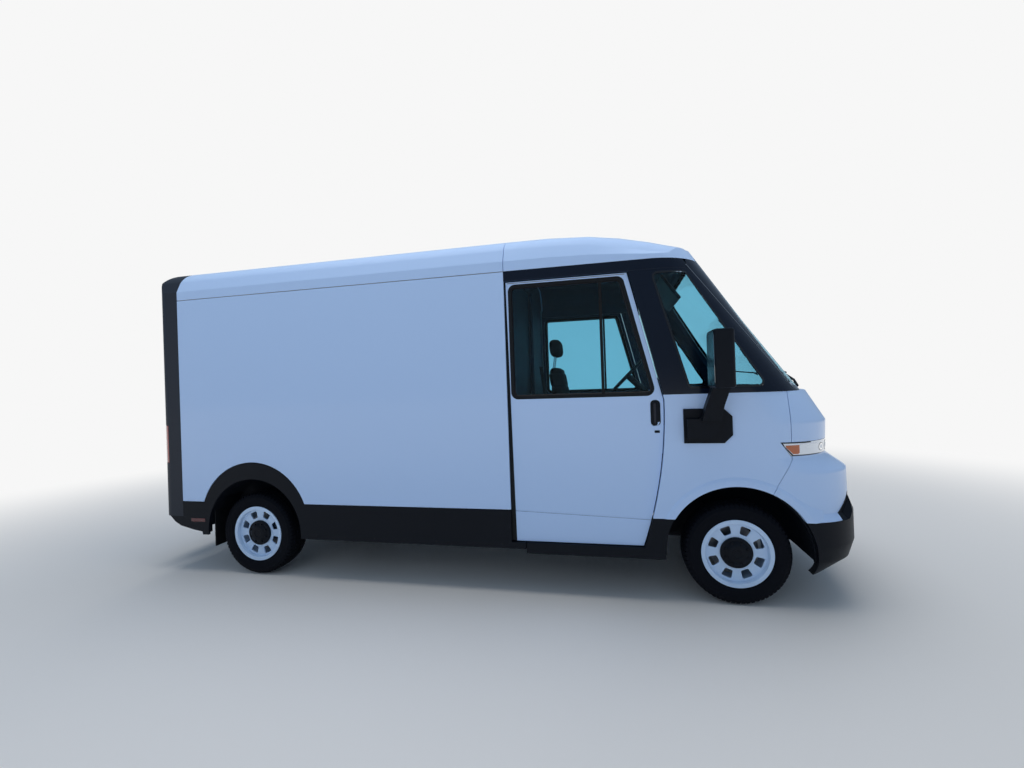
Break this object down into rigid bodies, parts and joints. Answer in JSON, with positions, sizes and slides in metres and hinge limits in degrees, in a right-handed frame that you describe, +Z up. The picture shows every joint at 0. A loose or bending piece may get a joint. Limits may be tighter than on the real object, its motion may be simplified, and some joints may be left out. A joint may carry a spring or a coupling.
{
  "type": "delivery van",
  "caption": "Tall electric walk-in delivery van with sliding side doors, hinged rear doors, a raked windscreen and steered front wheels.",
  "frame": {"origin": "on the ground under the middle of the overall length and width", "axes": "+X forward, +Y to the van's left, +Z up"},
  "size_m": [6.008, 2.752, 2.7449],
  "materials": {
    "body_paint": "gloss",
    "roof_skin": "satin",
    "black_trim": "satin",
    "rear_grey": "satin",
    "cab_glass": "clear",
    "tyre_rubber": "matte",
    "soft_rubber": "matte",
    "rim_paint": "satin",
    "chassis_black": "satin",
    "battery_case": "matte",
    "cast_parts": "rough",
    "lamp_lens": "gloss",
    "tail_lens": "gloss",
    "cab_plastic": "matte",
    "lining": "matte",
    "deck": "matte",
    "seat_cloth": "matte"
  },
  "bodies": {
    "van_body": {"cargo_sides": "body_paint", "fenders": "body_paint", "nose_panel": "body_paint", "roof_panel": "roof_skin", "roof_cap": "roof_skin", "cant_rails": "black_trim", "sill_panels": "black_trim", "front_bumper": "black_trim", "lower_grille": "black_trim", "mirrors": "black_trim", "door_steps": "black_trim", "cowl": "black_trim", "cab_pillars": "black_trim", "wheel_housings": "black_trim", "rear_wheel_housings": "black_trim", "rear_frame": "rear_grey", "windscreen": "cab_glass", "quarter_glass": "cab_glass", "mud_flaps": "soft_rubber", "chassis_rails": "chassis_black", "cross_members": "chassis_black", "rear_step": "chassis_black", "firewall": "chassis_black", "seat_base": "chassis_black", "battery_pack": "battery_case", "rear_axle": "cast_parts", "front_suspension": "cast_parts", "headlamps": "lamp_lens", "tail_lamps": "tail_lens", "dashboard": "cab_plastic", "steering_wheel": "cab_plastic", "cargo_linings": "lining", "bulkhead": "lining", "floor": "deck", "seat_cushion": "seat_cloth", "seat_back": "seat_cloth"},
    "door_right": {"side_door_right": "body_paint", "side_door_trim_right": "black_trim", "side_door_glass_right": "cab_glass"},
    "door_left": {"side_door_left": "body_paint", "side_door_trim_left": "black_trim", "side_door_glass_left": "cab_glass"},
    "back_door_right": {"rear_door_right": "body_paint", "rear_door_glass_right": "cab_glass"},
    "back_door_left": {"rear_door_left": "body_paint", "rear_door_glass_left": "cab_glass"},
    "inner_door": {"bulkhead_door": "lining"},
    "steer_right": {"knuckle_right": "cast_parts"},
    "steer_left": {"knuckle_left": "cast_parts"},
    "wheel_front_right": {"rim_front_right": "rim_paint", "tyre_front_right": "tyre_rubber"},
    "wheel_front_left": {"rim_front_left": "rim_paint", "tyre_front_left": "tyre_rubber"},
    "wheel_rear_right": {"rim_rear_right": "rim_paint", "tyre_rear_right": "tyre_rubber"},
    "wheel_rear_left": {"rim_rear_left": "rim_paint", "tyre_rear_left": "tyre_rubber"}
  },
  "joints": [
    {"name": "side_door_right_slide", "type": "slide", "parent": "van_body", "child": "door_right", "axis": [-1, 0, 0], "range_m": [0, 0.85]},
    {"name": "side_door_left_slide", "type": "slide", "parent": "van_body", "child": "door_left", "axis": [-1, 0, 0], "range_m": [0, 0.85]},
    {"name": "rear_door_right_hinge", "type": "hinge", "parent": "van_body", "child": "back_door_right", "pos_m": [-2.797, -0.9, 1.57], "axis": [0, 0, 1], "range_deg": [0, 170]},
    {"name": "rear_door_left_hinge", "type": "hinge", "parent": "van_body", "child": "back_door_left", "pos_m": [-2.797, 0.9, 1.57], "axis": [0, 0, -1], "range_deg": [0, 170]},
    {"name": "bulkhead_door_slide", "type": "slide", "parent": "van_body", "child": "inner_door", "axis": [0, 1, 0], "range_m": [0, 0.56]},
    {"name": "steering_right", "type": "hinge", "parent": "van_body", "child": "steer_right", "pos_m": [2.066, -0.79, 0.356], "axis": [0, 0, 1], "range_deg": [-35, 35]},
    {"name": "steering_left", "type": "hinge", "parent": "van_body", "child": "steer_left", "pos_m": [2.066, 0.79, 0.356], "axis": [0, 0, 1], "range_deg": [-35, 35]},
    {"name": "wheel_front_right_spin", "type": "hinge", "parent": "steer_right", "child": "wheel_front_right", "pos_m": [2.066, -0.882, 0.356], "axis": [0, 1, 0], "continuous": true},
    {"name": "wheel_front_left_spin", "type": "hinge", "parent": "steer_left", "child": "wheel_front_left", "pos_m": [2.066, 0.882, 0.356], "axis": [0, 1, 0], "continuous": true},
    {"name": "wheel_rear_right_spin", "type": "hinge", "parent": "van_body", "child": "wheel_rear_right", "pos_m": [-1.82, -0.882, 0.356], "axis": [0, 1, 0], "continuous": true},
    {"name": "wheel_rear_left_spin", "type": "hinge", "parent": "van_body", "child": "wheel_rear_left", "pos_m": [-1.82, 0.882, 0.356], "axis": [0, 1, 0], "continuous": true}
  ],
  "couplings": [
    {"joint": "steering_left", "follows": "steering_right", "ratio": 1}
  ]
}
